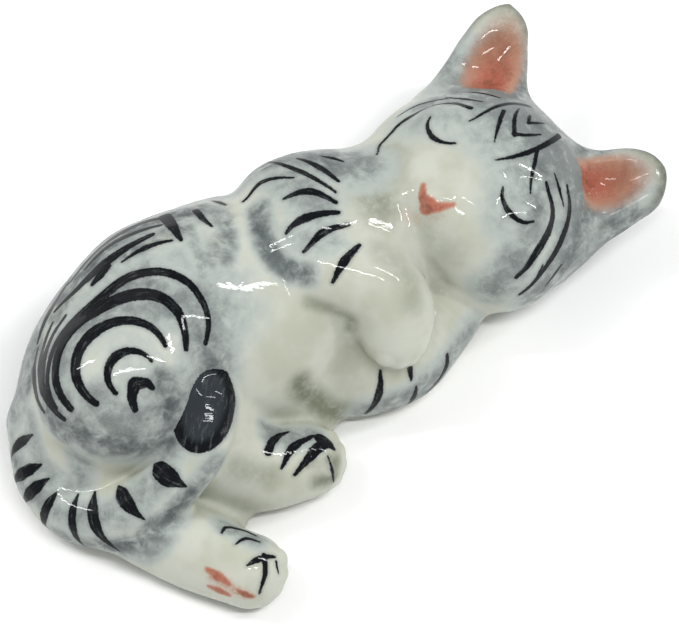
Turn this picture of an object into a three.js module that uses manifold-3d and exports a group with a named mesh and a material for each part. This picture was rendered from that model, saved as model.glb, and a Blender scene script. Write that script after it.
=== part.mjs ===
// Sleeping cat figurine in glazed porcelain, curled on its left side on a flat base.
//
// Frame, in millimetres: +X runs from the rump to the head, +Y from the belly to the spine,
// +Z up. The origin is on the table, under the middle of the figurine.
//
// The figurine is modelled the way a potter builds it: a torso, a head, two ears, four legs
// and a tail, each a lump of clay of its own, pressed against its neighbours. A fine seam is
// left between the lumps.

import * as THREE from 'three';
import { mergeVertices } from 'three/addons/utils/BufferGeometryUtils.js';
import Module from 'manifold-3d';

const wasm = await Module();
wasm.setup();

// ---- driving dimensions ------------------------------------------------------------------

const SEAM = 0.3; // clearance between two lumps of clay
const SLIVER = 0.02; // finest edge kept where lumps meet
const SAME_POINT = 1e-4; // vertices closer than this are one
const TABLE = [80, 60, 10]; // block of space under the base
const AROUND = 16; // facets round a limb
const ALONG = 12; // rings along a limb
const CAP_RINGS = 4; // rings in each rounded limb end
const BLOB_FACETS = [20, 14]; // facets round an ellipsoid, and from pole to pole

// Ellipsoids are [centre, radii].
const TORSO = [
  [[-13.2, 5.4, 5.0], [7.4, 7.0, 7.4]], // rump
  [[-6.5, 5.7, 5.4], [9.5, 7.2, 7.8]], // back
  [[3.0, 3.9, 5.4], [8.0, 6.7, 7.5]], // chest
  [[-5.0, 1.8, 4.4], [7.5, 4.8, 7.0]], // belly
  [[-17.0, 1.6, 2.6], [4.6, 4.2, 4.0]], // seat, under the tail
  [[-17.8, 5.2, 4.2], [4.0, 3.8, 4.6]], // root of the tail
  [[-4.4, -2.0, 1.8], [3.0, 2.5, 2.4]], // front of the belly, on the table
  [[8.5, 5.0, 6.0], [4.0, 4.0, 4.8]], // neck
  [[-9.6, 6.0, 6.0], [6.5, 7.2, 7.6]], // loin
];
const SHOULDER = [[1.1, 6.9, 8.7], [4.0, 4.0, 4.0]];
const THIGH = [[-15.0, 3.7, 8.3], [6.0, 5.2, 5.3]];

// Limbs are spines of [x, y, z, radius], from the root to the tip.
const FORELEG_RIGHT = [
  [3.4, 6.4, 8.2, 4.0], [1.4, 4.9, 9.5, 3.9], [-0.4, 3.0, 10.2, 3.2], [0.5, 1.2, 10.2, 3.0],
  [2.0, -0.8, 9.4, 3.0], [2.4, -2.4, 8.2, 2.9], [1.9, -3.6, 7.2, 2.4],
];
const FORELEG_LEFT = [
  [-0.9, 0.0, 3.4, 3.5], [-0.4, -2.2, 2.9, 3.3], [2.6, -3.1, 2.9, 3.3], [6.2, -2.2, 3.2, 3.1],
  [9.5, -1.0, 3.6, 2.8],
];
const SHANK_RIGHT = [
  [-13.5, 1.5, 6.5, 4.2], [-12.0, -1.6, 4.4, 3.6], [-11.0, -3.4, 3.2, 3.3],
  [-9.4, -4.7, 2.7, 2.9], [-7.0, -5.8, 2.4, 2.45],
];
const WEB = [[-14.6, -4.2, 1.4], [3.2, 3.0, 2.0]]; // clay between the hind feet
const HIND_LEG_LEFT = [
  [-18.5, -2.2, 2.6, 3.0], [-17.8, -4.6, 2.5, 2.7], [-16.6, -7.2, 2.3, 2.6],
  [-14.9, -9.9, 2.2, 2.5],
];
const TAIL = [
  [-19.6, 6.4, 3.6, 2.6], [-21.3, 3.8, 2.5, 2.25], [-21.4, 0.8, 2.3, 2.15],
  [-20.1, -1.8, 3.2, 2.1], [-18.0, -2.9, 4.6, 2.05], [-15.5, -3.1, 6.2, 2.0],
  [-13.1, -2.4, 7.6, 2.05], [-11.5, -1.0, 8.6, 1.95],
];

// The head has axes of its own: to the cat's left, up to the crown, and out of the face.
const HEAD_CENTRE = new THREE.Vector3(13.9, 2.2, 6.0);
const FACE_FRONT = new THREE.Vector3(-0.1, -0.14, 0.985); // the face looks up from the table
const CROWN = new THREE.Vector3(1, 0.06, 0.1);
const HEAD = [
  [[0.2, 0, -0.7], [7.7, 6.8, 6.8]], // skull
  [[0.3, -4.2, 3.6], [4.9, 3.7, 3.9]], // muzzle
  [[3.7, -2.4, 0.4], [4.4, 4.4, 4.6]], // left cheek
  [[-3.4, -2.4, 0.4], [4.4, 4.4, 4.6]], // right cheek
  [[3.9, -0.6, 4.2], [2.1, 1.9, 1.7]], // left eyelid
  [[-3.4, -0.6, 4.2], [2.1, 1.9, 1.7]], // right eyelid
];

// Ears are rounded triangles with a scooped front, splayed to each side of the crown.
const EAR_HALF_WIDTH = 3.4;
const EAR_ROOT_DEPTH = 1.5;
const EAR_TIP_RADIUS = 1.4;
const EAR_BULGE = [0.8, 0.55]; // fullest place of its side: shares of half-width and height
const EAR_THICKNESS = 2.2;
const EAR_EDGE_ROUND = 0.5;
const EAR_SCOOP = [[0, 1.8, 1.6], [2.2, 3.6, 1.7]];
const EARS = {
  ear_right: { root: [-5.0, 3.7, 0.3], splay: -31, height: 6.9 },
  ear_left: { root: [4.7, 4.3, 0.1], splay: 22, height: 6.0 },
};

const GLAZES = {
  white: { color: 0xc9cbbb, roughness: 0.12, metalness: 0 },
  grey: { color: 0x9aa5a5, roughness: 0.12, metalness: 0 },
  pink: { color: 0xc08a72, roughness: 0.12, metalness: 0 },
};

// ---- solids ------------------------------------------------------------------------------

function solid(geometry) {
  geometry.deleteAttribute('normal');
  geometry.deleteAttribute('uv');
  const merged = mergeVertices(geometry, SAME_POINT);
  return new wasm.Manifold(new wasm.Mesh({
    numProp: 3,
    vertProperties: new Float32Array(merged.attributes.position.array),
    triVerts: new Uint32Array(merged.index.array),
  }));
}

function join(solids) {
  return solids.reduce((whole, next) => whole.add(next));
}

// An ellipsoid, grown on all sides when it stands for the room its lump needs.
function ellipsoid([centre, radii], grow = 0) {
  const ball = new THREE.SphereGeometry(1, ...BLOB_FACETS);
  ball.scale(...radii.map((radius) => radius + grow));
  ball.translate(...centre);
  return ball;
}

// A limb: a capsule bent along a smooth spine, as thick at each place as the spine says.
function limb(spine, grow = 0) {
  const path = new THREE.CatmullRomCurve3(spine.map(([x, y, z]) => new THREE.Vector3(x, y, z)));
  const girth = new THREE.SplineCurve(spine.map(([, , , r], i) => new THREE.Vector2(i, r)));
  const capsule = new THREE.CapsuleGeometry(1, 1, CAP_RINGS, AROUND, ALONG);
  const places = capsule.attributes.position;
  for (let i = 0; i < places.count; i += 1) {
    const height = places.getY(i);
    const share = THREE.MathUtils.clamp(height + 0.5, 0, 1);
    const beyond = height + 0.5 - share;
    const centre = path.getPoint(share);
    const along = path.getTangent(share);
    const side = new THREE.Vector3(0, 0, 1).cross(along).normalize();
    const over = along.clone().cross(side);
    const radius = girth.getPoint(share).y + grow;
    centre.addScaledVector(along, beyond * radius);
    centre.addScaledVector(side, places.getZ(i) * radius);
    centre.addScaledVector(over, places.getX(i) * radius);
    places.setXYZ(i, centre.x, centre.y, centre.z);
  }
  return capsule;
}

function headMatrix() {
  const front = FACE_FRONT.clone().normalize();
  const left = CROWN.clone().cross(front).normalize();
  const up = front.clone().cross(left);
  return new THREE.Matrix4().makeBasis(left, up, front).setPosition(HEAD_CENTRE);
}

function head(grow = 0) {
  return join(HEAD.map((lump) => solid(ellipsoid(lump, grow).applyMatrix4(headMatrix()))));
}

function earOutline(height) {
  const shoulder = height - EAR_TIP_RADIUS;
  const [bulge, bulgeHeight] = [EAR_BULGE[0] * EAR_HALF_WIDTH, EAR_BULGE[1] * shoulder];
  const outline = new THREE.Shape();
  outline.moveTo(-EAR_HALF_WIDTH, -EAR_ROOT_DEPTH);
  outline.lineTo(EAR_HALF_WIDTH, -EAR_ROOT_DEPTH);
  outline.quadraticCurveTo(bulge, bulgeHeight, EAR_TIP_RADIUS, shoulder);
  outline.absarc(0, shoulder, EAR_TIP_RADIUS, 0, Math.PI, false);
  outline.quadraticCurveTo(-bulge, bulgeHeight, -EAR_HALF_WIDTH, -EAR_ROOT_DEPTH);
  return outline;
}

function ear({ root, splay, height }) {
  const plate = new THREE.ExtrudeGeometry(earOutline(height - EAR_EDGE_ROUND), {
    depth: EAR_THICKNESS - 2 * EAR_EDGE_ROUND,
    bevelThickness: EAR_EDGE_ROUND,
    bevelSize: EAR_EDGE_ROUND,
    bevelSegments: 2,
    curveSegments: 8,
  });
  plate.translate(0, 0, EAR_EDGE_ROUND - EAR_THICKNESS / 2);
  const place = new THREE.Matrix4()
    .makeRotationZ(-THREE.MathUtils.degToRad(splay))
    .setPosition(...root)
    .premultiply(headMatrix());
  const scoop = ellipsoid(EAR_SCOOP).applyMatrix4(place);
  return solid(plate.applyMatrix4(place)).subtract(solid(scoop));
}

// ---- the lumps of clay, and what each one makes room for --------------------------------

const lumps = {
  tail: (grow) => solid(limb(TAIL, grow)),
  head,
  foreleg_right: (grow) => join([solid(ellipsoid(SHOULDER, grow)), solid(limb(FORELEG_RIGHT, grow))]),
  foreleg_left: (grow) => solid(limb(FORELEG_LEFT, grow)),
  hind_leg_right: (grow) => join([solid(ellipsoid(THIGH, grow)), solid(limb(SHANK_RIGHT, grow))]),
  hind_leg_left: (grow) => join([solid(ellipsoid(WEB, grow)), solid(limb(HIND_LEG_LEFT, grow))]),
  body: (grow) => join(TORSO.map((lump) => solid(ellipsoid(lump, grow)))),
};

function makeRoom(shape, neighbours) {
  return neighbours.reduce((rest, name) => rest.subtract(lumps[name](SEAM)), shape);
}

// Everything below the table is wiped off, which leaves the flat base.
function flattenBase(shape) {
  const table = new THREE.BoxGeometry(...TABLE).translate(0, 0, -TABLE[2] / 2);
  return shape.subtract(solid(table));
}

// Crumbs and slivers left where lumps meet are smoothed away.
function smoothed(shape) {
  const crumbs = shape.simplify(SLIVER).decompose();
  return crumbs.reduce((biggest, crumb) => (crumb.volume() > biggest.volume() ? crumb : biggest));
}

function piece(name, shape, glaze) {
  const { vertProperties, triVerts } = smoothed(flattenBase(shape)).getMesh();
  const geometry = new THREE.BufferGeometry();
  geometry.setAttribute('position', new THREE.Float32BufferAttribute(vertProperties, 3));
  geometry.setIndex([...triVerts]);
  geometry.computeVertexNormals();
  const mesh = new THREE.Mesh(geometry, new THREE.MeshStandardMaterial(GLAZES[glaze]));
  mesh.name = name;
  return mesh;
}

const order = Object.keys(lumps); // a lump makes room for every lump before it
const glazeOf = { tail: 'grey', head: 'white', body: 'grey' };
const cat = new THREE.Group();
order.forEach((name, rank) => {
  const shape = makeRoom(lumps[name](0), order.slice(0, rank));
  cat.add(piece(name, shape, glazeOf[name] ?? 'white'));
});
Object.entries(EARS).forEach(([name, form]) => {
  cat.add(piece(name, makeRoom(ear(form), ['head']), 'pink'));
});

// The origin goes under the middle of the figurine.
const middle = new THREE.Box3().setFromObject(cat).getCenter(new THREE.Vector3());
cat.position.set(-middle.x, -middle.y, 0);

export default cat;
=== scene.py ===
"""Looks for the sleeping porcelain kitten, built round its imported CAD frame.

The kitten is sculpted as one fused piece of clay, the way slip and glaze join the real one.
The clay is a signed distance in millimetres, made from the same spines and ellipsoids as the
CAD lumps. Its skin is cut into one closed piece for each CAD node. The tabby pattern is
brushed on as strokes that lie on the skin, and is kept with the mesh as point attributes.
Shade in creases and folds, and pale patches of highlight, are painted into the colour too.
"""

import functools
import math

import bpy
import numpy as np
from mathutils import Matrix, Vector


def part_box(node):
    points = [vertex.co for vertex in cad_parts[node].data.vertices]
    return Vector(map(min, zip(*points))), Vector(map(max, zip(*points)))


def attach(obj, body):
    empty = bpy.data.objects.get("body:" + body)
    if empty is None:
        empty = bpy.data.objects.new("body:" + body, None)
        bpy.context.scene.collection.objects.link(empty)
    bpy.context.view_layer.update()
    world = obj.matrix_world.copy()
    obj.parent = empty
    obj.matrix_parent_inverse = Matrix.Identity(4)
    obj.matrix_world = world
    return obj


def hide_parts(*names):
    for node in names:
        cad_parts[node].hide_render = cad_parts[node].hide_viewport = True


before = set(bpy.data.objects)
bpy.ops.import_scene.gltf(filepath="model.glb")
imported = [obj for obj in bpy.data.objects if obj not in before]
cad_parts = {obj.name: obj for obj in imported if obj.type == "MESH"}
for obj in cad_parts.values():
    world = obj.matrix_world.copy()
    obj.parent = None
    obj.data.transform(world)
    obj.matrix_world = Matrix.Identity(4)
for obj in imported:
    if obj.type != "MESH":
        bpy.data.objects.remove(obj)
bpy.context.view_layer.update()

MM = 0.001

# ---- spines and lumps, in millimetres, in the figurine's own axes --------------------------

TORSO = [  # centre and radii of each lump
    ((-13.2, 5.4, 5.0), (7.4, 7.0, 7.4)),
    ((-6.5, 5.7, 5.4), (9.5, 7.2, 7.8)),
    ((3.0, 3.9, 5.4), (8.0, 6.7, 7.5)),
    ((-5.0, 1.8, 4.4), (7.5, 4.8, 7.0)),
    ((-17.0, 1.6, 2.6), (4.6, 4.2, 4.0)),
    ((-17.8, 5.2, 4.2), (4.0, 3.8, 4.6)),
    ((-4.4, -2.0, 1.8), (3.0, 2.5, 2.4)),
    ((8.5, 5.0, 6.0), (4.0, 4.0, 4.8)),
    ((-9.6, 6.0, 6.0), (6.5, 7.2, 7.6)),
]
TORSO_FILLET = 2.0
SHOULDER = ((1.1, 6.9, 8.7), (4.0, 4.0, 4.0))
THIGH = ((-15.0, 3.7, 8.3), (6.0, 5.2, 5.3))
WEB = ((-14.6, -4.2, 1.4), (3.2, 3.0, 2.0))

SPINES = {  # x, y, z, radius from the root to the tip
    "foreleg_right": [
        (3.4, 6.4, 8.2, 4.0), (1.4, 4.9, 9.5, 3.9), (-0.4, 3.0, 10.2, 3.2),
        (0.5, 1.2, 10.2, 3.0), (2.0, -0.8, 9.4, 3.0), (2.4, -2.4, 8.2, 2.9),
        (1.9, -3.6, 7.2, 2.4),
    ],
    "foreleg_left": [
        (-0.9, 0.0, 3.4, 3.5), (-0.4, -2.2, 2.9, 3.3), (2.6, -3.1, 2.9, 3.3),
        (6.2, -2.2, 3.2, 3.1), (9.5, -1.0, 3.6, 2.8),
    ],
    "hind_leg_right": [
        (-13.5, 1.5, 6.5, 4.2), (-12.0, -1.6, 4.4, 3.6), (-11.0, -3.4, 3.2, 3.3),
        (-9.4, -4.7, 2.7, 2.9), (-7.0, -5.8, 2.4, 2.45),
    ],
    "hind_leg_left": [
        (-18.5, -2.2, 2.6, 3.0), (-17.8, -4.6, 2.5, 2.7), (-16.6, -7.2, 2.3, 2.6),
        (-14.9, -9.9, 2.2, 2.5),
    ],
    "tail": [
        (-19.6, 6.4, 3.6, 2.6), (-21.3, 3.8, 2.5, 2.25), (-21.4, 0.8, 2.3, 2.15),
        (-20.1, -1.8, 3.2, 2.1), (-18.0, -2.9, 4.6, 2.05), (-15.5, -3.1, 6.2, 2.0),
        (-13.1, -2.4, 7.6, 2.05), (-11.5, -1.0, 8.6, 1.95),
    ],
}

HEAD_CENTRE = np.array([13.9, 2.2, 6.0])
FACE_FRONT = (-0.1, -0.14, 0.985)
CROWN = (1.0, 0.06, 0.1)
HEAD = [  # centre and radii, to the cat's left, to the crown, out of the face; fillet
    ((0.3, -4.2, 3.6), (4.9, 3.7, 3.9), 1.8),
    ((3.7, -2.4, 0.4), (4.4, 4.4, 4.6), 1.5),
    ((-3.4, -2.4, 0.4), (4.4, 4.4, 4.6), 1.5),
    ((3.9, -0.6, 4.2), (2.1, 1.9, 1.7), 0.8),
    ((-3.4, -0.6, 4.2), (2.1, 1.9, 1.7), 0.8),
]
SKULL = ((0.2, 0.0, -0.7), (7.7, 6.8, 6.8))
NOSE = ((0.5, -5.0, 7.0), (1.0, 0.8, 0.8))
MOUTH = ((0.5, -7.3, 7.6), (1.9, 0.35, 1.0))  # cut into the muzzle
EARS = {  # root, splay in degrees, height
    "ear_right": ((-5.0, 3.7, 0.8), -31, 7.8),
    "ear_left": ((4.7, 4.3, 0.6), 22, 6.4),
}

# ---- clay ----------------------------------------------------------------------------------


def unit(vector):
    vector = np.asarray(vector, float)
    return vector / np.linalg.norm(vector, axis=-1, keepdims=True)


def smooth_join(a, b, width):
    """The union of two distances, with a fillet of about that width."""
    share = np.clip(0.5 + 0.5 * (b - a) / width, 0, 1)
    return b + (a - b) * share - width * share * (1 - share)


def smooth_cut(a, b, width):
    """Distance a without what is inside b, with a rounded edge."""
    return -smooth_join(-a, b, width)


def ellipsoid(points, centre, radii, axes=None):
    spot = points - np.asarray(centre, float)
    if axes is not None:
        spot = spot @ axes.T
    radii = np.asarray(radii, float)
    near = np.linalg.norm(spot / radii, axis=1)
    steep = np.linalg.norm(spot / radii**2, axis=1)
    return near * (near - 1) / np.maximum(steep, 1e-6)


def spline(knots, places):
    """Catmull-Rom curve through the knots, at places from 0 to 1."""
    knots = np.asarray(knots, float)
    ends = np.vstack([2 * knots[0] - knots[1], knots, 2 * knots[-1] - knots[-2]])
    run = np.clip(np.asarray(places, float), 0, 1) * (len(knots) - 1)
    first = np.minimum(run.astype(int), len(knots) - 2)
    t = (run - first)[:, None]
    a, b, c, d = (ends[first + i] for i in range(4))
    return 0.5 * (2 * b + (c - a) * t + (2 * a - 5 * b + 4 * c - d) * t**2
                  + (3 * b - a - 3 * c + d) * t**3)


FAR = 3.5  # no fillet reaches further than this


def limb(points, spine, links=24):
    """Distance to a round limb along a spine of x, y, z, radius."""
    knots = spline(spine, np.linspace(0, 1, links + 1))
    reach = knots[:, 3].max() + FAR
    close = np.all((points > knots[:, :3].min(0) - reach) & (points < knots[:, :3].max(0) + reach), 1)
    spot = points[close]
    nearest = np.full(len(spot), FAR)
    for start, end in zip(knots[:-1], knots[1:]):
        way = end[:3] - start[:3]
        offset = spot - start[:3]
        share = np.clip(offset @ way / (way @ way), 0, 1)
        girth = start[3] + (end[3] - start[3]) * share
        nearest = np.minimum(nearest, np.linalg.norm(offset - share[:, None] * way, axis=1) - girth)
    distance = np.full(len(points), FAR)
    distance[close] = nearest
    return distance


def head_axes():
    front = unit(FACE_FRONT)
    left = unit(np.cross(CROWN, front))
    return np.stack([left, np.cross(front, left), front])


HEAD_AXES = head_axes()


def on_head(left, up, out):
    return HEAD_CENTRE + np.array([left, up, out]) @ HEAD_AXES


def toes(points, distance, tip, forward, across, size):
    """Four little mounds side by side over the end of a paw."""
    forward, across = unit(forward), unit(across)
    for place in (-1.5, -0.5, 0.5, 1.5):
        bend = 0.32 * abs(place) ** 1.5
        centre = np.array(tip) + (across * place - forward * bend) * 0.92 * size
        distance = smooth_join(distance, ellipsoid(points, centre, np.full(3, 0.72 * size)), 0.28)
    return distance


def body(points):
    distance = ellipsoid(points, *TORSO[0])
    for lump in TORSO[1:]:
        distance = smooth_join(distance, ellipsoid(points, *lump), TORSO_FILLET)
    return distance


def head(points):
    def lump(centre, radii):
        return ellipsoid(points, on_head(*centre), radii, HEAD_AXES)

    distance = lump(*SKULL)
    for centre, radii, fillet in HEAD:
        distance = smooth_join(distance, lump(centre, radii), fillet)
    distance = smooth_join(distance, lump(*NOSE), 0.7)
    return smooth_cut(distance, lump(*MOUTH), 0.8)


def ear_places(points, root, splay):
    """Places across the ear, up to its tip and out of its front."""
    angle = math.radians(splay)
    left, up, front = HEAD_AXES
    axes = np.stack([math.cos(angle) * left - math.sin(angle) * up,
                     math.cos(angle) * up + math.sin(angle) * left, front])
    return (points - on_head(*root)) @ axes.T


def ear(points, root, splay, height):
    side, rise, out = ear_places(points, root, splay).T
    share = np.clip((rise + 1.0) / 8.5, 0, 1)
    half_width = 3.7 * (1 - share) ** 0.8 + 1.1 * share
    plate = -smooth_join(half_width - np.abs(side), height - rise, 2.2) * 0.85
    plate = -smooth_join(-plate, rise + 2.0, 0.5)
    back = out + 0.5 + 0.05 * side**2
    plate = -smooth_join(-plate, 1.2 - np.abs(back), 1.0)
    scoop = ellipsoid(np.stack([side, rise, out], 1), (0, 1.7, 1.5), (1.9, 3.7, 1.7))
    return smooth_cut(plate, scoop, 0.5)


def foreleg_right(points):
    distance = smooth_join(ellipsoid(points, *SHOULDER), limb(points, SPINES["foreleg_right"]), 1.5)
    return toes(points, distance, (1.4, -5.3, 6.6), (-0.2, -0.9, -0.4), (0.85, -0.1, -0.3), 0.95)


def foreleg_left(points):
    return limb(points, SPINES["foreleg_left"])


def hind_leg_right(points):
    distance = smooth_join(ellipsoid(points, *THIGH), limb(points, SPINES["hind_leg_right"]), 1.6)
    return toes(points, distance, (-5.3, -6.8, 2.5), (0.85, -0.5, 0.0), (0.35, 0.6, 0.6), 0.9)


def hind_leg_left(points):
    distance = smooth_join(limb(points, SPINES["hind_leg_left"]), ellipsoid(points, *WEB), 1.5)
    return toes(points, distance, (-13.9, -11.6, 2.3), (0.45, -0.9, 0.0), (0.7, 0.3, 0.6), 0.95)


def tail(points):
    return limb(points, SPINES["tail"], 32)


PARTS = {  # name: distance, and the fillet where it joins what comes before it
    "body": (body, 0),
    "head": (head, 0.8),
    "ear_right": (lambda points: ear(points, *EARS["ear_right"]), 1.8),
    "ear_left": (lambda points: ear(points, *EARS["ear_left"]), 1.8),
    "foreleg_right": (foreleg_right, 0.8),
    "foreleg_left": (foreleg_left, 0.8),
    "hind_leg_right": (hind_leg_right, 1.0),
    "hind_leg_left": (hind_leg_left, 0.9),
    "tail": (tail, 0.6),
}
BASE_ROUND = 0.25


def ripple(points):
    """The slight unevenness of fingers and thick glaze."""
    x, y, z = points.T
    waves = np.sin(1.1 * x + 0.7 * y) * np.sin(0.9 * y - 0.5 * z + 1.0)
    finer = np.sin(2.3 * x - 1.1 * z + 2.0) * np.sin(2.0 * y + 1.3 * z)
    return 0.035 * waves + 0.012 * finer


def clay(points):
    """Distance to the whole figurine, standing flat on the table."""
    distance = None
    for part, width in PARTS.values():
        lump = part(points)
        distance = lump if distance is None else smooth_join(distance, lump, width)
    distance = distance + ripple(points)
    return -smooth_join(-distance, points[:, 2], BASE_ROUND)


# ---- the skin, as a mesh -------------------------------------------------------------------

COARSE = 0.34  # first grid, in millimetres
LOW = np.array([-26.0, -14.5, -1.0])
HIGH = np.array([26.5, 14.5, 15.5])


def slope(points, step=0.02):
    """The distance and its gradient, from the corners of a small tetrahedron."""
    corners = np.array([(1, 1, 1), (1, -1, -1), (-1, 1, -1), (-1, -1, 1)], float)
    values = [clay(points + corner * step) for corner in corners]
    gradient = sum(value[:, None] * corner for value, corner in zip(values, corners)) / (4 * step)
    return np.mean(values, 0), gradient


def settle(points, rounds=1):
    """Points moved on to the skin."""
    for _ in range(rounds):
        distance, gradient = slope(points)
        steep = np.maximum((gradient**2).sum(1), 0.25)
        points = points - (distance / steep)[:, None] * gradient
    return points


def surface_net():
    """Quads round the clay: one vertex in each grid cell that the skin crosses."""
    ticks = [np.arange(low, high, COARSE) for low, high in zip(LOW, HIGH)]
    grid = np.stack(np.meshgrid(*ticks, indexing="ij"), -1)
    values = clay(grid.reshape(-1, 3)).reshape(grid.shape[:3])
    cells = tuple(n - 1 for n in values.shape)
    corners = [(i, j, k) for i in (0, 1) for j in (0, 1) for k in (0, 1)]

    def at(corner):
        return values[tuple(slice(c, c + n) for c, n in zip(corner, cells))]

    total, count = np.zeros(cells + (3,)), np.zeros(cells)
    for a in corners:
        for axis in range(3):
            if a[axis]:
                continue
            b = tuple(1 if i == axis else c for i, c in enumerate(a))
            start, end = at(a), at(b)
            crosses = (start < 0) != (end < 0)
            share = np.where(crosses, start / np.where(crosses, start - end, 1), 0)
            spot = np.zeros(cells + (3,)) + np.array(a, float)
            spot[..., axis] += share
            total += spot * crosses[..., None]
            count += crosses
    used = count > 0
    number = np.full(cells, -1)
    number[used] = np.arange(used.sum())
    points = LOW + (np.argwhere(used) + total[used] / count[used][:, None]) * COARSE
    quads = []
    for axis in range(3):
        u, v = (axis + 1) % 3, (axis + 2) % 3
        step = np.eye(3, dtype=int)
        low = [1, 1, 1]
        low[axis] = 0
        inner = tuple(slice(s, n) for s, n in zip(low, cells))
        ahead = tuple(slice(s + step[axis][i], n + step[axis][i])
                      for i, (s, n) in enumerate(zip(low, cells)))
        here, there = values[inner] < 0, values[ahead] < 0
        where = np.argwhere(here != there) + low
        ring = [number[tuple((where - du * step[u] - dv * step[v]).T)]
                for du, dv in ((1, 1), (0, 1), (0, 0), (1, 0))]
        ring = np.stack(ring, 1)
        outward = here[tuple((where - low).T)]
        quads.append(np.where(outward[:, None], ring, ring[:, ::-1]))
    return points, np.concatenate(quads)


def edges_of(quads):
    """Each quad's four edges as numbers of unique edges, and the unique edges."""
    pairs = np.sort(np.stack([quads, np.roll(quads, -1, 1)], -1).reshape(-1, 2), 1)
    base = pairs.max() + 1
    keys, place = np.unique(pairs[:, 0] * base + pairs[:, 1], return_inverse=True)
    return place.reshape(-1, 4), np.stack([keys // base, keys % base], 1)


def refine(points, quads):
    """Every quad cut in four, and the new points settled on the skin."""
    place, edges = edges_of(quads)
    middles, centres = points[edges].mean(1), points[quads].mean(1)
    new = settle(np.vstack([middles, centres]))
    edge = place + len(points)
    centre = np.arange(len(quads)) + len(points) + len(edges)
    parts = [np.stack([quads[:, i], edge[:, i], centre, edge[:, i - 1]], 1) for i in range(4)]
    return np.vstack([points, new]), np.stack(parts, 1).reshape(-1, 4)


def relax(points, quads, rounds):
    """Vertices evened out along the skin."""
    _, edges = edges_of(quads)
    for _ in range(rounds):
        total, count = np.zeros_like(points), np.zeros(len(points))
        for a, b in (edges.T, edges.T[::-1]):
            np.add.at(total, a, points[b])
            np.add.at(count, a, 1)
        points = settle(0.5 * points + 0.5 * total / count[:, None])
    return points


def nearest_part(points):
    distances = np.stack([part(points) for part, _ in PARTS.values()], 1)
    return distances.argmin(1)


def neighbours(quads):
    """The quad across each of a quad's four edges, on a closed skin."""
    place, _ = edges_of(quads)
    order = np.argsort(place.ravel(), kind="stable").reshape(-1, 2)
    beside = np.empty(place.size, int)
    beside[order[:, 0]], beside[order[:, 1]] = order[:, 1] // 4, order[:, 0] // 4
    return beside.reshape(-1, 4)


def cut_up(points, quads):
    """The number of the part that each quad belongs to, in one patch for each part."""
    parts = np.arange(len(PARTS))
    labels = nearest_part(points[quads].mean(1))
    beside = neighbours(quads)
    for _ in range(12):
        votes = (labels[beside][:, :, None] == parts).sum(1) + 1.5 * (labels[:, None] == parts)
        labels = votes.argmax(1)
    patch = np.arange(len(quads))
    while True:  # until every quad has the lowest number of its patch
        joined = np.where(labels[beside] == labels[:, None], patch[beside], len(quads)).min(1)
        lowest = np.minimum(patch, joined)
        lowest = lowest[lowest]
        if (lowest == patch).all():
            break
        patch = lowest
    for name in parts:
        own = labels == name
        labels[own & (patch != np.bincount(patch[own]).argmax())] = -1
    while (labels < 0).any():
        lost = labels < 0
        labels[lost] = labels[beside[lost]].max(1)
    return labels


WALL = 0.5  # how deep a piece's edge goes in before it closes, in millimetres


def close_patch(points, normals, quads):
    """A patch of skin made into a closed piece: its edge goes in and is drawn together."""
    used, local = np.unique(quads, return_inverse=True)
    quads = local.reshape(-1, 4)
    points, normals = points[used], normals[used]
    sides = np.stack([quads, np.roll(quads, -1, 1)], -1).reshape(-1, 2)
    base = len(points)
    keys = sides[:, 0] * base + sides[:, 1]
    rim = sides[~np.isin(keys, sides[:, 1] * base + sides[:, 0])]
    on_rim = np.unique(rim)
    inner = np.full(base, -1)
    inner[on_rim] = base + np.arange(len(on_rim))
    loop = np.arange(base)
    while True:  # until every vertex on a rim has the lowest number of its loop
        low = np.minimum(loop[rim[:, 0]], loop[rim[:, 1]])
        before = loop.copy()
        np.minimum.at(loop, rim[:, 0], low)
        np.minimum.at(loop, rim[:, 1], low)
        if (loop == before).all():
            break
    sunk = points[on_rim] - normals[on_rim] * WALL
    loops, which = np.unique(loop[on_rim], return_inverse=True)
    hubs = np.stack([sunk[which == i].mean(0) for i in range(len(loops))])
    hub = dict(zip(loops, base + len(on_rim) + np.arange(len(loops))))
    walls = np.stack([rim[:, 1], rim[:, 0], inner[rim[:, 0]], inner[rim[:, 1]]], 1)
    fans = np.stack([inner[rim[:, 1]], inner[rim[:, 0]], [hub[i] for i in loop[rim[:, 0]]]], 1)
    source = np.concatenate([np.arange(base), on_rim, loops])
    return np.vstack([points, sunk, hubs]), source, used, [quads, walls], fans


def mesh_object(name, points, quads, triangles, normals):
    mesh = bpy.data.meshes.new(name)
    mesh.vertices.add(len(points))
    mesh.vertices.foreach_set("co", (points * MM).ravel())
    corners = np.concatenate([quads.ravel(), triangles.ravel()])
    sizes = np.concatenate([np.full(len(quads), 4), np.full(len(triangles), 3)])
    mesh.loops.add(len(corners))
    mesh.loops.foreach_set("vertex_index", corners)
    mesh.polygons.add(len(sizes))
    mesh.polygons.foreach_set("loop_start", np.concatenate([[0], np.cumsum(sizes)[:-1]]))
    mesh.update(calc_edges=True)
    mesh.validate()
    mesh.normals_split_custom_set_from_vertices(normals)
    piece = bpy.data.objects.new(name, mesh)
    bpy.context.collection.objects.link(piece)
    return piece


def keep_on_points(piece, name, values):
    kind, entry = ("FLOAT", "value") if values.ndim == 1 else ("FLOAT_VECTOR", "vector")
    layer = piece.data.attributes.new(name, kind, "POINT")
    layer.data.foreach_set(entry, values.astype(np.float32).ravel())


# ---- brushwork -----------------------------------------------------------------------------
# A chart turns two coordinates into a ray from outside the figurine towards the inside of a
# lump. The brush touches the skin where the ray meets it. Angles are in degrees.


def turned(around, start, quarter):
    """The directions at these angles from start towards quarter."""
    around = np.radians(around)[:, None]
    return np.cos(around) * start + np.sin(around) * quarter


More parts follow.
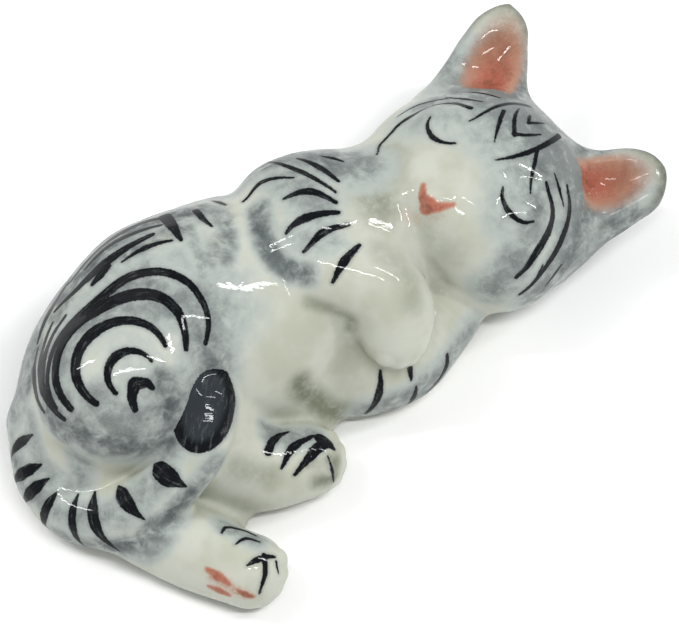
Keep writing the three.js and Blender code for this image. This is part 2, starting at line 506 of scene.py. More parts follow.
def on_face(yaw, pitch):
    """Round to the cat's left of the face's front, and up to the crown."""
    left, up, front = HEAD_AXES
    out = turned(pitch, turned(yaw, front, left), up)
    return HEAD_CENTRE + 9 * out, -out


RINGS_AXIS = (-0.12, -0.39, 0.91)  # out of the thigh, through the middle of its rings


def on_haunch(tilt, around):
    """Tilt away from the middle of the thigh's rings, and around them from the head's side."""
    axis = unit(RINGS_AXIS)
    ahead = unit(np.cross((0, 1, 0), axis))
    out = turned(tilt, axis, turned(around, ahead, np.cross(axis, ahead)))
    return np.array(THIGH[0]) + 11 * out, -out


def on_torso(x, around):
    """Along the body, and round it from the top to the back."""
    out = turned(around, np.array((0, 0, 1)), np.array((0, 1, 0)))
    return np.stack([x, 0 * x + 4.5, 0 * x + 5], 1) + 11 * out, -out


@functools.cache
def on_limb(name):
    """Share of the way to the tip, and round the limb from its top; over 1 is round the tip."""

    def chart(share, around):
        tilt, share = np.maximum(share - 1, 0) * 300, np.clip(share, 0.01, 0.99)
        knot = spline(SPINES[name], share)
        ahead = unit((spline(SPINES[name], share + 0.01) - spline(SPINES[name], share - 0.01))[:, :3])
        side = unit(np.cross((0, 0, 1), ahead))
        out = turned(tilt, turned(around, np.cross(ahead, side), side), ahead)
        return knot[:, :3] + (knot[:, 3:] + 1.2) * out, -out

    return chart


# how a stroke's half-width goes from its start to its end, as shares of its widest
FLICK = (0.35, 1.0, 0.45)
LANDED = (0.3, 0.9, 1.0)
LIFTED = (1.0, 0.9, 0.35)
LEAF = (0.1, 0.5, 1.0, 0.95, 0.2)
DAB = (0.5, 1.0, 0.6)


def arc(middle, radii, first, last, knots=6):
    """Places along an oval arc of a chart, its angles going from the right to the top."""
    turn = np.radians(np.linspace(first, last, knots))
    return list(zip(middle[0] + radii[0] * np.cos(turn), middle[1] + radii[1] * np.sin(turn)))


def ring(tilt, swell, first, last, knots=8):
    """Places round the thigh at that tilt, which swells towards the cat's back."""
    around = np.linspace(first, last, knots)
    return list(zip(tilt + swell * np.sin(np.radians(around)), around))


def bar(share, lean, low, high):
    """Places across a limb: from low on its side to high over its top."""
    return [(share + lean, low), (share + 0.4 * lean, (low + high) / 2), (share, high)]


EYES = [((-29, -6), (11, 9), 185, 340), ((33, -3), (12, 9), 198, 350)]
RINGS = [  # half-width, then the ring's tilt, swell, first and last angle
    (0.34, 58, 11, -14, 168),
    (0.46, 48, 13, -12, 174),
    (0.40, 33, 9, 2, 186),
    (0.27, 17, -2, -8, 199),
    (0.34, 58, 24, 96, 178),
    (0.30, 54, 38, 104, 168),
    (0.30, 66, 36, 122, 166),
]
TAIL_BANDS = [  # half-width, then the band's share, lean, low and high angle
    (0.28, 0.05, 0.05, -84, -10),
    (0.34, 0.14, 0.00, -102, -12),
    (0.34, 0.195, -0.01, -110, -14),
    (0.28, 0.255, 0.01, -124, -16),
    (0.25, 0.34, 0.035, -118, 2),
    (0.34, 0.405, 0.05, -102, 16),
    (0.42, 0.54, 0.03, -52, 32),
    (0.54, 0.70, 0.015, -50, 26),
]
ARM_STRIPES = [  # half-width, then the places it goes through
    (0.15, (0.0, -8), (0.02, 12)),
    (0.24, (0.06, -28), (0.10, -4), (0.14, 18)),
    (0.18, (0.04, -60), (0.11, -34), (0.15, -6), (0.18, 20)),
    (0.17, (0.16, -22), (0.16, -52), (0.21, -66)),
    (0.24, (0.23, -28), (0.20, -4), (0.21, 24)),
    (0.27, (0.33, -22), (0.30, 0), (0.24, 30)),
    (0.24, (0.39, -20), (0.42, 14), (0.49, 40)),
    (0.25, (0.51, -44), (0.52, -14), (0.55, 16)),
]
BACK_STRIPES = 9

INK = {  # half-width in millimetres, how it goes, and then the places it goes through
    on_face: [(0.155, FLICK, *arc(*eye)) for eye in EYES] + [
        (0.16, LANDED, (-44, -36), (-53, -30), (-55, -16), (-52, -2), (-48, 10), (-36, 16)),
        (0.10, FLICK, (-58, 12), (-38, 26)),
        (0.10, FLICK, (-56, 26), (-40, 40)),
        (0.10, FLICK, (-64, -14), (-62, 0), (-56, 14)),
        (0.14, LANDED, (-26, 8), (-27, 22), (-30, 42), (-30, 58)),
        (0.12, LIFTED, (-22, 32), (-12, 20), (-4, 10)),
        (0.13, LANDED, (-22, 45), (-11, 33), (0, 24)),
        (0.12, LIFTED, (-1, 24), (5, 32), (10, 42)),
        (0.11, DAB, (-11, 48), (-4, 40)),
        (0.10, LIFTED, (-4, 40), (2, 54)),
        (0.16, LANDED, (6, 2), (12, 14), (17, 30), (22, 58)),
        (0.12, LIFTED, (17, 30), (26, 16), (34, 4)),
        (0.28, FLICK, (37, 18), (50, 10), (57, 0), (62, -14), (65, -24)),
        (0.22, FLICK, (49, 29), (60, 20), (68, 4), (73, -14), (77, -25)),
        (0.10, FLICK, (37, 27), (55, 18)),
        (0.10, FLICK, (69, -10), (73, -16)),
        (0.12, FLICK, (80, 0), (84, -12)),
        *[(0.24, FLICK, (yaw, 52), (1.03 * yaw, 30), (1.04 * yaw, 6))
          for yaw in (-158, -134, -110, 102, 126, 150)],
    ],
    on_haunch: [(width, FLICK, *ring(*spot)) for width, *spot in RINGS] + [
        (0.38, FLICK, (20, -70), (13, -70), (9, -103), (16, -121), (27, -118)),
    ],
    on_torso: [
        (0.36, FLICK, (-14.0, 54), (-10.5, 50), (-8.0, 47), (-6.4, 40)),
        (0.38, FLICK, (-16.0, 46), (-13.2, 39), (-11.0, 34), (-8.4, 31)),
        (0.27, FLICK, (-12.8, 47), (-9.8, 42), (-7.4, 35)),
        (0.20, FLICK, (-11.2, 28), (-9.4, 26), (-7.8, 22)),
        (0.32, DAB, (-13.4, 33), (-12.0, 32)),
        (0.32, FLICK, (-18.0, 48), (-16.0, 53), (-13.6, 58)),
        (0.30, FLICK, (-12.0, 59), (-8.5, 57), (-5.0, 56)),
        (0.36, LIFTED, (-6.5, 42), (-6.9, 31), (-7.3, 20)),
        (0.20, LIFTED, (-4.7, 36), (-4.9, 27), (-4.9, 20)),
        (0.16, FLICK, (-3.0, 43), (-2.8, 33)),
        *[(0.30, FLICK, (x + 1.2, 64 + 5 * (i % 2)), (x + 0.3, 84), (x - 0.6, 112 - 7 * (i % 3)))
          for i, x in enumerate(np.linspace(-16.5, 6.5, BACK_STRIPES))],
    ],
    on_limb("foreleg_right"): [(width, FLICK, *places) for width, *places in ARM_STRIPES],
    on_limb("foreleg_left"): [
        (0.22, FLICK, (0.35, -36), (0.33, -65), (0.29, -100)),
        (0.16, LIFTED, (0.46, -46), (0.45, -62)),
        (0.20, FLICK, (0.46, -74), (0.43, -114)),
        (0.22, DAB, (0.60, -66), (0.57, -84), (0.50, -102)),
    ],
    on_limb("hind_leg_right"): [
        (0.24, LIFTED, (0.69, -10), (0.74, 7), (0.88, 24)),
        (0.24, FLICK, (0.78, -32), (0.87, -7), (1.03, 13)),
        (0.32, LANDED, (0.86, -44), (1.0, -17), (1.08, -2)),
        (0.32, LIFTED, (1.06, 8), (1.10, -2), (1.13, -12)),
        (0.10, FLICK, (1.08, -25), (1.10, -50), (1.11, -78)),
    ],
    on_limb("hind_leg_left"): [
        (0.14, DAB, (0.77, 18), (0.78, 35), (0.88, 46), (0.98, 42)),
        (0.12, FLICK, (0.89, 6), (0.94, 25), (1.03, 28)),
        (0.18, FLICK, (1.02, -18), (1.06, -3), (1.13, 20)),
        (0.16, LIFTED, (1.08, 8), (1.12, -20), (1.12, -60)),
        (0.08, LIFTED, (1.15, 14), (1.20, -4)),
    ],
    on_limb("tail"): [(width, LEAF, *bar(*spot)) for width, *spot in TAIL_BANDS],
}

TIP = (0.97, (3.1, 2.05, 2.6))  # share along the tail, and radii of the black tip

PINK = {
    on_face: [
        (0.38, DAB, (-6, -34), (-1, -37), (4, -40)),
        (0.40, LIFTED, (4, -40), (8, -35), (12, -30)),
        (0.44, DAB, (0, -36), (4, -36), (7, -35)),
    ],
    on_limb("hind_leg_left"): [
        (0.36, DAB, (0.77, -43), (0.85, -48), (0.93, -54)),
        (0.30, DAB, (0.81, -70), (0.95, -74)),
        (0.28, DAB, (1.01, -60), (1.09, -67)),
    ],
}
PINK_SHIFT = {"ear_right": 0.35, "ear_left": -0.1}  # of the ears' pink, towards the cat's left
FLUSH = {  # strength, half-width, places
    on_face: [(0.24, 1.0, (-2, -47), (4, -46)), (0.20, 1.3, (2, -38), (10, -38))],
    on_limb("hind_leg_left"): [(0.40, 0.9, (0.82, -52), (1.05, -64))],
}

# Blue-grey washes of the coat; the marked ones are painted shade.
WASH = {
    on_torso: [
        (1.0, 5.0, (-20, 75), (-8, 66), (4, 66)),
        (1.0, 5.5, (-20, 112), (-8, 108), (6, 108)),
        (0.65, 3.2, (-12, 40), (-5, 36)),
        (0.2, 2.6, (-7.0, 20), (-4.5, 14)),
        # painted shade: the two folds beside the shoulder
        (0.7, 1.2, (-4.0, 40), (-4.0, 26), (-4.6, 10), (-5.8, 0)),
        (0.6, 1.0, (-5.9, 30), (-7.0, 12), (-7.7, 0)),
    ],
    on_haunch: [
        (0.38, 4.4, (66, -5), (70, 60), (74, 130)),
        (0.75, 3.6, (62, 175), (56, -150), (50, -110)),
        (0.8, 3.0, (30, -172), (38, -120), (34, -76)),
        (0.30, 4.0, (20, -120), (0, 0), (20, 60)),
        (0.75, 2.4, (26, -75), (36, -60), (44, -45)),
    ],
    on_face: [
        (0.70, 3.4, (-56, 2), (-45, 30), (-10, 48), (30, 50)),
        (0.85, 3.6, (50, 40), (72, 12), (84, -16)),
        (0.65, 3.2, (2, 24), (30, 12), (50, -8)),
        (0.45, 3.6, (-50, -12), (-20, 8), (16, 6), (34, -16)),
        (0.8, 3.0, (56, -20), (66, -34)),
        (1.0, 6.0, (-110, 30), (-150, 40), (120, 40)),
        (1.0, 6.0, (100, 20), (140, 0), (180, -10)),
        (0.9, 4.5, (-120, 0), (-150, -10)),
        (0.9, 4.0, (0, 62), (0, 88)),
        (0.9, 4.5, (180, 88), (180, 30)),
    ],
    on_limb("foreleg_right"): [
        (0.85, 4.4, (0, -60), (0, 20)),
        (0.65, 3.2, (0.15, -30), (0.24, 5)),
        (0.5, 2.4, (0.35, -10), (0.45, 10)),
        # painted shade: the crease between the right foreleg and the chest
        (0.9, 1.6, (0.25, -52), (0.31, -48), (0.36, -47), (0.41, -45)),
    ],
    on_limb("foreleg_left"): [(0.68, 2.6, (0.3, -95), (0.5, -85), (0.75, -80))],
    on_limb("hind_leg_right"): [(0.8, 1.9, (0.72, 18), (1.02, 12))],
    on_limb("hind_leg_left"): [(0.7, 1.7, (0.76, 38), (1.0, 30))],
    on_limb("tail"): [
        (0.6, 1.8, (0.0, -10), (0.2, -10), (0.4, 30)),
        (0.6, 1.6, (0.55, 60), (0.8, 60)),
        # painted shade: the tail's underside
        (0.8, 1.9, (0.3, -100), (0.45, -95), (0.62, -80), (0.8, -70)),
        (0.65, 2.3, (0.1, -60), (0.3, -40), (0.5, -20), (0.7, 0)),
    ],
}

# Slate: darker brushwork on the back and head, and painted shade in grooves, folds and creases, marked
# below.
SHADE = {
    on_haunch: [
        # painted shade in the groove below the thigh, where the tail lies
        (0.60, 1.9, (75, 140), (68, 172), (60, -160), (52, -125)),
        (0.85, 2.0, (94, 142), (96, 118)),
        (0.7, 1.8, (92, 80), (92, 100)),
        (0.6, 1.6, (66, 150), (62, 172)),
        # painted shade in the hollow between the thigh and the tail's tip
        (0.75, 1.6, (24, -44), (36, -62), (42, -80)),
    ],
    on_torso: [
        # painted shade in the fold between the shoulder and the back
        (0.5, 1.5, (-3.0, 34), (-3.4, 20), (-5.4, 10), (-7.0, 5)),
        (1.0, 1.8, (-15, 48), (-10, 44), (-5, 38)),
        (0.75, 1.4, (-13, 36), (-9.6, 28), (-6.5, 26)),
        (1.0, 2.4, (-16, 74), (-6, 70), (3, 70)),
        (0.8, 2.0, (-14, 104), (-4, 100), (6, 100)),
    ],
    on_face: [
        (0.50, 2.2, (70, 30), (84, 0), (88, -14)),
        (0.5, 1.6, (-60, 10), (-52, 30)),
        (0.45, 1.6, (28, 22), (36, 12), (40, 0)),
        (0.45, 1.6, (-8, 44), (8, 50), (22, 44)),
    ],
    on_limb("foreleg_right"): [
        # painted shade in the crease between the right foreleg and the chest
        (0.60, 1.4, (0.25, -54), (0.33, -48), (0.41, -46)),
        (0.7, 1.8, (0.02, -70), (0.08, -50)),
        (0.5, 2.0, (0.04, -10), (0.10, 5)),
    ],
    on_limb("foreleg_left"): [(0.7, 1.2, (0.33, -110), (0.55, -105)), (0.4, 0.8, (0.36, -80), (0.5, -70))],
    # painted shade along the tail's lower crease
    on_limb("tail"): [(0.7, 1.4, (0.42, -85), (0.55, -75), (0.7, -66)), (0.4, 1.2, (0.05, -60), (0.2, -70))],
    on_limb("hind_leg_right"): [(0.5, 0.9, (0.95, -30), (1.05, -38))],
}

# Olive in hollows and on the undersides of limbs: partly glaze colour, partly painted shade.
OLIVE = {
    on_limb("foreleg_left"): [(0.95, 1.6, (0.14, -50), (0.20, -75), (0.25, -105))],
    on_face: [(0.70, 3.0, (-42, -36), (-26, -44), (-14, -47)), (0.3, 2.4, (10, -46), (30, -44))],
    on_limb("foreleg_right"): [
        (0.35, 1.8, (0.62, 20), (0.8, 10)),
        (0.55, 0.9, (0.44, -78), (0.6, -86), (0.76, -96)),
    ],
    on_limb("hind_leg_right"): [
        (0.80, 1.2, (1.02, -64), (1.10, -66), (1.12, -38)),
        (0.45, 1.6, (0.4, -30), (0.7, -40)),
    ],
    on_haunch: [(0.6, 1.8, (60, -160), (55, -130), (48, -95))],
}


PLACES_PER_KNOT = 14


def brush(chart, knots, spacing):
    """Rays towards the skin along a stroke: their starts and their ways."""
    knots = np.array(knots, float)
    count = max(8, int(len(knots) * PLACES_PER_KNOT / spacing))
    places = spline(knots, np.linspace(0, 1, count))
    return chart(places[:, 0], places[:, 1])


def touch_down(starts, ways):
    """Where rays first meet the skin."""
    gone = np.zeros(len(starts))
    for _ in range(50):
        gone += 0.85 * np.clip(clay(starts + ways * gone[:, None]), -1, 2)
        gone = np.clip(gone, -4, 12)
    return starts + ways * gone[:, None]


class Strokes:
    """Many brush strokes at once, each a chain of places on the skin with half-widths."""

    def __init__(self, strokes_by_chart, spacing=1.0, pressure=1.0):
        rays, self.widths = [], []
        for chart, strokes in strokes_by_chart.items():
            for width, going, *knots in strokes:
                rays.append(brush(chart, knots, spacing))
                share = np.linspace(0, len(going) - 1, len(rays[-1][0]))
                self.widths.append(width * pressure * np.interp(share, np.arange(len(going)), going))
        starts, ways = (np.concatenate(parts) for parts in zip(*rays))
        ends = np.cumsum([len(start) for start, _ in rays])[:-1]
        self.chains = np.split(touch_down(starts, ways), ends)

    def near(self, points, normals, reach):
        """For each stroke: which points it may touch, their depth in it, and brush place."""
        for number, (chain, widths) in enumerate(zip(self.chains, self.widths)):
            margin = widths.max() + reach
            close = np.flatnonzero(np.all((points > chain.min(0) - margin)
                                          & (points < chain.max(0) + margin), 1))
            spot, facing = points[close], normals[close]
            depth, run, across = np.full(len(spot), -99.0), np.zeros(len(spot)), np.zeros(len(spot))
            gone = 0.0
            for a, b, thick, next_thick in zip(chain[:-1], chain[1:], widths[:-1], widths[1:]):
                way = b - a
                length = max(np.linalg.norm(way), 1e-6)
                offset = spot - a
                share = np.clip(offset @ way / length**2, 0, 1)
                away = offset - share[:, None] * way
                inside = thick + (next_thick - thick) * share - np.linalg.norm(away, axis=1)
                better = inside > depth
                depth[better] = inside[better]
                run[better] = gone + share[better] * length
                side = (np.cross(way / length, facing[better]) * away[better]).sum(1)
                across[better] = side
                gone += length
            yield number, close, depth, run, across


def black_tip(points):
    """Depth in the oval of black over the tail's tip, and places along and across it."""
    share, radii = TIP
    knot = spline(SPINES["tail"], [share])[0, :3]
    ahead = unit(spline(SPINES["tail"], [0.99])[0, :3] - spline(SPINES["tail"], [0.85])[0, :3])
    side = unit(np.cross((0, 0, 1), ahead))
    axes = np.stack([ahead, side, np.cross(ahead, side)])
    middle = knot + 1.6 * axes[2]
    along, across = (points - middle) @ axes[0], (points - middle) @ axes[1]
    number = np.full(len(points), 99.0)
    return -ellipsoid(points, middle, radii, axes), np.stack([along, across, number], 1)


INK_PRESSURE = 1.25  # how many times as wide as INK says the strokes come out


def lay_ink(points, normals):
    """How deep in a stroke each point is, and its place in the stroke: along, across, which."""
    depth, place = np.full(len(points), -1.0), np.zeros((len(points), 3))
    strokes = Strokes(INK, pressure=INK_PRESSURE)
    for number, close, inside, run, across in strokes.near(points, normals, 0.6):
        better = inside > depth[close]
        chosen = close[better]
        depth[chosen] = inside[better]
        place[chosen] = np.stack([run[better], across[better], np.full(len(chosen), number)], 1)
    tip_depth, tip_place = black_tip(points)
    on_tip = (tip_depth > depth) & (tail(points) < 0.5)
    depth[on_tip], place[on_tip] = tip_depth[on_tip], tip_place[on_tip]
    return depth, place


def lay_wash(strokes_by_chart, points, normals):
    """Soft wide strokes: full strength along the middle, falling away to the sides."""
    strength = np.zeros(len(points))
    powers = [power for strokes in strokes_by_chart.values() for power, *_ in strokes]
    plain = {chart: [(width, (1.0, 1.0), *knots) for _, width, *knots in strokes]
             for chart, strokes in strokes_by_chart.items()}
    washes = Strokes(plain, 3.0)
    for number, close, inside, _, _ in washes.near(points, normals, 0.0):
        share = np.clip(inside / washes.widths[number].max(), 0, 1)
        soft = share * share * (3 - 2 * share)
        strength[close] = np.maximum(strength[close], powers[number] * soft)
    return strength


def lay_blush(points, normals):
    """The pink of the nose, the pads and the insides of the ears, and how tan it goes."""
    blush, tan = lay_wash(FLUSH, points, normals), np.zeros(len(points))
    for _, close, inside, _, _ in Strokes(PINK).near(points, normals, 0.4):
        blush[close] = np.maximum(blush[close], 0.82 * np.clip(0.5 + inside / 0.3, 0, 1))
    for name, (root, splay, height) in EARS.items():
        side, rise, out = ear_places(points, root, splay).T
        along = (rise / height - 0.28) / 0.56
        oval = 1 - ((side - PINK_SHIFT[name]) / 2.1) ** 2 - along**2
        inside = np.clip(0.8 * oval + 0.2, 0, 1) * np.clip(2 * (out + 0.9), 0, 1)
        inside = inside * np.clip(0.7 * rise + 0.6, 0, 1) * (np.abs(out) < 1.8)
        inner = -side * np.sign(root[0])  # pinkest towards the middle of the head
        blush = np.maximum(blush, (1.03 - 0.55 * rise / height + 0.11 * inner) * inside)
        tan = np.maximum(tan, inside * np.clip(2.0 * rise / height - 0.2, 0, 1))
    return blush, tan


def ear_rims(points):
    """Darker mottling along the edges and the backs of the ears."""
    rims = np.zeros(len(points))
    for root, splay, height in EARS.values():
        side, rise, out = ear_places(points, root, splay).T
        edge = (side / 2.9) ** 2 + (np.maximum(rise, 0) / height) ** 4
        rim = np.clip(1.6 * edge - 0.45, 0, 1) * (np.abs(side) < 4.2) * (np.abs(out) < 2.2)
        rims = np.maximum(rims, rim * np.clip(rise - 0.3, 0, 1) * (rise < height + 1))
    return rims


def hollow(points, normals, reach):
    """0 on open skin, towards 1 deep in a crease."""
    return np.clip(1 - clay(points + normals * reach) / reach, 0, 1)


def painting(points, normals):
    depth, place = lay_ink(points, normals)
    crease = hollow(points, normals, 1.0)
    rims = ear_rims(points)
    blush, tan = lay_blush(points, normals)
    return {
        "stroke": depth,
        "brush": place,
        "wash": lay_wash(WASH, points, normals),
        # shade: slate brushwork, painted shade in grooves and creases, and the ear rims' mottling
        "shade": np.maximum(lay_wash(SHADE, points, normals), 0.65 * rims),
        "blush": blush,
        "tan": tan,
        # olive layer: olive washes, painted shade that deepens with a crease, darker and more olive within
        # 1.4 mm of the table, and the ear rims' mottling
        "olive_glaze_and_shade": np.maximum(lay_wash(OLIVE, points, normals), 0.65 * crease**1.5)
        + 0.4 * np.clip(1 - points[:, 2] / 1.4, 0, 1) + 0.85 * rims,
        "bare": np.clip((0.10 - points[:, 2]) / 0.08, 0, 1),
    }


# ---- glaze ---------------------------------------------------------------------------------


class Nodes:
    """Short ways to add and join the nodes of one material."""

    def __init__(self, name):
        self.material = bpy.data.materials.new(name)
        self.material.use_nodes = True
        self.tree = self.material.node_tree
        self.shader = self.tree.nodes["Principled BSDF"]

    def add(self, kind, **settings):
        node = self.tree.nodes.new(kind)
        for key, value in settings.items():
            setattr(node, key, value)
        return node

    def join(self, source, target):
        self.tree.links.new(source, target)

    def give(self, socket, value):
        if isinstance(value, bpy.types.NodeSocket):
            self.join(value, socket)
        else:
            socket.default_value = value

    def attribute(self, name):
        return self.add("ShaderNodeAttribute", attribute_name=name).outputs["Fac"]

    def math(self, operation, first, second=0.0, third=0.0):
        node = self.add("ShaderNodeMath", operation=operation)
        for socket, value in zip(node.inputs, (first, second, third)):
            self.give(socket, value)
        return node.outputs[0]

    def noise(self, scale, detail=2.0, roughness=0.5, distortion=0.0):
        place = self.add("ShaderNodeTexCoord").outputs["Object"]
        node = self.add("ShaderNodeTexNoise")
        self.join(place, node.inputs["Vector"])
        for key, value in (("Scale", scale / MM), ("Detail", detail), ("Roughness", roughness),
                           ("Distortion", distortion)):
            node.inputs[key].default_value = value
        return node.outputs["Fac"]

    def streaks(self, name):
        """Streaks that bristles leave, drawn out along the stroke."""
        place = self.add("ShaderNodeAttribute", attribute_name=name).outputs["Vector"]
        stretch = self.add("ShaderNodeVectorMath", operation="MULTIPLY")
        self.join(place, stretch.inputs[0])
        stretch.inputs[1].default_value = (1.2, 5.0, 7.3)
        node = self.add("ShaderNodeTexNoise")
        self.join(stretch.outputs["Vector"], node.inputs["Vector"])
        node.inputs["Scale"].default_value = 1.0
        return node.outputs["Fac"]

    def smooth(self, value, low, high, to_low=0.0, to_high=1.0):
        node = self.add("ShaderNodeMapRange", interpolation_type="SMOOTHSTEP")
        for key, entry in (("Value", value), ("From Min", low), ("From Max", high),
                           ("To Min", to_low), ("To Max", to_high)):
            self.give(node.inputs[key], entry)
        return node.outputs["Result"]

    def mix(self, share, first, second):
        node = self.add("ShaderNodeMix", data_type="RGBA")
        self.give(node.inputs["Factor"], share)
        for key, value in (("A", first), ("B", second)):
            socket = next(s for s in node.inputs if s.name == key and s.type == "RGBA")
            self.give(socket, value if isinstance(value, bpy.types.NodeSocket) else (*value, 1.0))
        return next(s for s in node.outputs if s.type == "RGBA")


WARM_WHITE = (0.455, 0.467, 0.378)
# the paler white, laid in random patches, is painted highlight
PALE_HIGHLIGHT_WHITE = (0.53, 0.545, 0.475)
COOL_WHITE = (0.435, 0.475, 0.445)
# deep olive of glaze thick in hollows, also used as painted shade in creases
DEEP_OLIVE_AND_SHADE = (0.16, 0.175, 0.12)
BLUE_GREY = (0.180, 0.202, 0.197)
SLATE = (0.045, 0.055, 0.062)
BLACK = (0.005, 0.006, 0.008)
CORAL = (0.40, 0.105, 0.07)
ROSE = (0.44, 0.25, 0.175)
RUST = (0.20, 0.085, 0.05)
BISCUIT = (0.58, 0.55, 0.48)


def porcelain(n, mottle):
    """Warm white clay, paler in random patches of painted highlight, and olive in the hollows as thick glaze
    and painted shade.
    """
    # paler patches at random on the warm white: painted highlight
    colour = n.mix(n.smooth(n.noise(0.30, 3.0), 0.40, 0.68), PALE_HIGHLIGHT_WHITE, WARM_WHITE)
    # olive glaze in hollows, deepened as painted shade in creases
    olive_glaze_and_shade = n.math("MULTIPLY", n.attribute("olive_glaze_and_shade"), n.smooth(mottle, 0.25, 0.6, 0.6, 1.1))
    return n.mix(n.math("MINIMUM", olive_glaze_and_shade, 0.95), colour, DEEP_OLIVE_AND_SHADE)


def washed(n, colour, grain):
    """Uneven blue-grey washes, and slate where the brush went over them again; both also lie as painted
    shade in folds, grooves and creases.
    """
    dabs = n.noise(1.0, 4.0, 0.62, 0.3)
    wash = n.math("MULTIPLY", n.attribute("wash"), n.math("MULTIPLY_ADD", dabs, 2.2, -0.1))
    colour = n.mix(n.smooth(wash, 0.0, 0.35), colour, COOL_WHITE)
    wash = n.math("MULTIPLY", n.smooth(wash, 0.12, 1.0), n.smooth(grain, 0.2, 0.6, 0.75, 1.0))
    colour = n.mix(wash, colour, BLUE_GREY)
    # slate, also painted shade in grooves and creases
    shade = n.math("MULTIPLY", n.attribute("shade"), n.math("MULTIPLY_ADD", dabs, 2.6, -0.3))
    return n.mix(n.smooth(shade, 0.1, 1.1, 0.0, 0.8), colour, SLATE)


def blushed(n, colour, bristle, mottle):
    """Pink, from rose at its edge to coral, with rusty mottling."""
    blush = n.math("MULTIPLY_ADD", n.math("SUBTRACT", bristle, 0.5), 0.6, n.attribute("blush"))
    colour = n.mix(n.smooth(blush, 0.05, 0.6), colour, ROSE)
    colour = n.mix(n.smooth(blush, 0.45, 1.05), colour, CORAL)
    rust = n.math("MULTIPLY", n.smooth(mottle, 0.42, 0.62), n.smooth(blush, 0.35, 0.9, 0.0, 0.7))
    tan = n.math("MULTIPLY", n.attribute("tan"), n.smooth(mottle, 0.3, 0.6, 0.45, 0.9))
    return n.mix(n.math("MAXIMUM", rust, tan), colour, RUST)


def inked(n, colour, bristle, grain, mottle):
    """Black strokes with streaks in them, bled a little round their edges."""
    stroke = n.attribute("stroke")
    edge = n.math("MULTIPLY_ADD", n.math("SUBTRACT", bristle, 0.5), 0.17, stroke)
    bleed = n.math("MULTIPLY", n.smooth(edge, -0.30, 0.0, 0.0, 0.45), n.smooth(mottle, 0.3, 0.65, 0.4))
    colour = n.mix(bleed, colour, BLUE_GREY)
    streaks = n.math("MULTIPLY_ADD", grain, 0.5, n.streaks("brush"))
    ink = n.math("MULTIPLY", n.smooth(edge, -0.05, 0.03), n.smooth(streaks, 0.42, 0.72, 0.80, 1.0))
    black = n.mix(n.smooth(stroke, 0.45, 1.0, 0.0, 0.6), BLACK, SLATE)
    return n.mix(ink, colour, black)


def coat(n, bare):
    """Clear glaze with slight waves, but none on the bare foot."""
    n.join(n.smooth(bare, 0.0, 0.6, 0.55, 0.0), n.shader.inputs["Coat Weight"])
    n.shader.inputs["Coat Roughness"].default_value = 0.03
    n.shader.inputs["Coat IOR"].default_value = 1.36
    bump = n.add("ShaderNodeBump")
    bump.inputs["Strength"].default_value = 0.5
    bump.inputs["Distance"].default_value = 0.03 * MM
    n.join(n.noise(1.1, 3.0, 0.55), bump.inputs["Height"])
    n.join(bump.outputs["Normal"], n.shader.inputs["Coat Normal"])


def painted_glaze():
    """Porcelain, underglaze washes and brush strokes, under a clear glaze."""
    n = Nodes("painted_glaze")
    mottle = n.noise(1.3, 4.0, 0.6)
    grain = n.noise(9.0, 3.0, 0.7)
    bristle = n.noise(5.0, 3.0, 0.65, 0.4)
    bare = n.attribute("bare")
    colour = washed(n, porcelain(n, mottle), grain)
    colour = blushed(n, colour, bristle, mottle)
    colour = inked(n, colour, bristle, grain, mottle)
    n.join(n.mix(bare, colour, BISCUIT), n.shader.inputs["Base Color"])
    n.join(n.math("ADD", n.smooth(mottle, 0.3, 0.7, 0.10, 0.16), n.math("MULTIPLY", bare, 0.55)),
           n.shader.inputs["Roughness"])
    n.shader.inputs["IOR"].default_value = 1.5
    n.shader.inputs["Specular IOR Level"].default_value = 0.0
    coat(n, bare)
    return n.material


# ---- putting it together -------------------------------------------------------------------


def registration():
    """How far the figurine's own axes are from the frame: the tail is whole in both."""
    low, high = (np.array(corner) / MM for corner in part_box("tail"))
    knots = spline(SPINES["tail"], np.linspace(0, 1, 200))
    own_low, own_high = (knots[:, :3] - knots[:, 3:]).min(0), (knots[:, :3] + knots[:, 3:]).max(0)
    shift = (low + high - own_low - own_high) / 2
    return np.array([shift[0], shift[1], 0.0])


def build_figurine():
    points, quads = surface_net()
    points = relax(settle(points, 2), quads, 3)
    points, quads = refine(points, quads)
    labels = cut_up(points, quads)
    points, quads = refine(points, quads)
    labels = np.repeat(labels, 4)
    _, gradient = slope(points)
    normals = unit(gradient)
    paint = painting(points, normals)
    shift = registration()
    glaze = painted_glaze()
    for number, name in enumerate(PARTS):
        own, source, used, (skin, walls), fans = close_patch(points, normals, quads[labels == number])
        piece = mesh_object("glazed_" + name, own + shift, np.vstack([skin, walls]), fans,
                            normals[used][source])
        for layer, values in paint.items():
            keep_on_points(piece, layer, values[used][source])
        piece.data.materials.append(glaze)
        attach(piece, "root")
        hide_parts(name)


# ---- studio --------------------------------------------------------------------------------


def aim(thing, place, target):
    thing.location = place
    thing.rotation_euler = (Vector(place) - Vector(target)).to_track_quat("Z", "Y").to_euler()


MIDDLE = Vector((0, 0, 6.0 * MM))
VIEW_AZIMUTH, VIEW_ELEVATION = math.radians(-37), math.radians(60)
VIEW_DISTANCE = 0.300
IMAGE_WIDTH_MM = 45.267  # width of what the picture takes in, at the figurine
SENSOR_MM = 36.0


def view_direction(azimuth, elevation):
    return Vector((math.sin(azimuth) * math.cos(elevation),
                   -math.cos(azimuth) * math.cos(elevation), math.sin(elevation)))


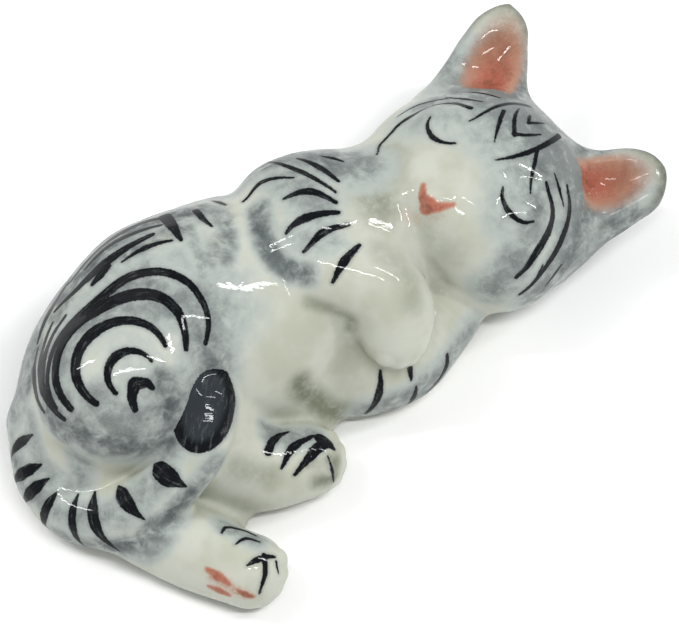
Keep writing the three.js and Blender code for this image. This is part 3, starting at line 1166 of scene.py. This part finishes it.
def make_camera(target):
    """A camera at the photograph's angle."""
    data = bpy.data.cameras.new("camera")
    camera = bpy.data.objects.new("camera", data)
    bpy.context.collection.objects.link(camera)
    aim(camera, target + view_direction(VIEW_AZIMUTH, VIEW_ELEVATION) * VIEW_DISTANCE, target)
    data.sensor_width = SENSOR_MM
    data.lens = SENSOR_MM * VIEW_DISTANCE / (IMAGE_WIDTH_MM * MM)
    data.clip_start = 0.01
    bpy.context.scene.camera = camera


def make_floor():
    """A sheet of pale paper, three metres square."""
    edge = 1.5
    corners = [(-edge, -edge, 0), (edge, -edge, 0), (edge, edge, 0), (-edge, edge, 0)]
    mesh = bpy.data.meshes.new("floor")
    mesh.from_pydata(corners, [], [(0, 1, 2, 3)])
    floor = bpy.data.objects.new("floor", mesh)
    bpy.context.collection.objects.link(floor)
    n = Nodes("floor_paper")
    n.join(n.mix(n.noise(0.02, 2.0), (0.97, 0.97, 0.97), (0.985, 0.985, 0.98)),
           n.shader.inputs["Base Color"])
    n.shader.inputs["Roughness"].default_value = 0.9
    floor.data.materials.append(n.material)


def area_light(name, length, width, power):
    data = bpy.data.lights.new(name, "AREA")
    data.shape = "RECTANGLE"
    data.size, data.size_y = length, width
    data.energy = power
    light = bpy.data.objects.new(name, data)
    bpy.context.collection.objects.link(light)
    return light


def key_light(azimuth, elevation, distance, edge, power):
    """A big square light that faces the middle of the figurine."""
    light = area_light("key", edge, edge, power)
    direction = view_direction(math.radians(azimuth), math.radians(elevation))
    aim(light, MIDDLE + distance * direction, MIDDLE)


def tube_light(name, lean, along, distance, length, width, power):
    """A tube across the picture: leaning back overhead, and so far along to the right."""
    across = Vector((math.cos(VIEW_AZIMUTH), math.sin(VIEW_AZIMUTH), 0))
    towards = Vector((math.sin(VIEW_AZIMUTH), -math.cos(VIEW_AZIMUTH), 0))
    lean = math.radians(lean)
    over = math.cos(lean) * towards + math.sin(lean) * Vector((0, 0, 1))
    direction = along * across + math.sqrt(1 - along**2) * over
    side = (across - across.dot(direction) * direction).normalized()
    light = area_light(name, length, width, power)
    light.location = direction * distance
    light.rotation_euler = Matrix((side, direction.cross(side), direction)).transposed().to_euler()


HORIZON, ZENITH = 0.55, 0.28  # brightness of the paper round the table and of the ceiling


def make_world():
    """Bright paper all round the table, under a darker ceiling."""
    world = bpy.data.worlds.new("studio")
    world.use_nodes = True
    tree = world.node_tree
    place = tree.nodes.new("ShaderNodeTexCoord")
    parts = tree.nodes.new("ShaderNodeSeparateXYZ")
    ramp = tree.nodes.new("ShaderNodeMapRange")
    ramp.interpolation_type = "SMOOTHSTEP"
    tree.links.new(place.outputs["Generated"], parts.inputs[0])
    tree.links.new(parts.outputs["Z"], ramp.inputs["Value"])
    for key, value in (("From Min", 0.1), ("From Max", 0.95), ("To Min", HORIZON), ("To Max", ZENITH)):
        ramp.inputs[key].default_value = value
    background = tree.nodes["Background"]
    background.inputs["Color"].default_value = (0.985, 0.99, 1.0, 1)
    tree.links.new(ramp.outputs["Result"], background.inputs["Strength"])
    bpy.context.scene.world = world


def make_light():
    key_light(-150, 55, 0.7, 0.6, 0.80)
    tube_light("tube_left", 98, -0.62, 0.35, 0.15, 0.014, 0.36)
    tube_light("tube_middle", 72, 0.22, 0.35, 0.22, 0.015, 0.52)
    tube_light("tube_right", 100, 0.66, 0.35, 0.15, 0.014, 0.36)
    make_world()
    bpy.context.scene.view_settings.view_transform = "Standard"


build_figurine()
make_camera(MIDDLE + Vector(registration() * MM))
make_floor()
make_light()
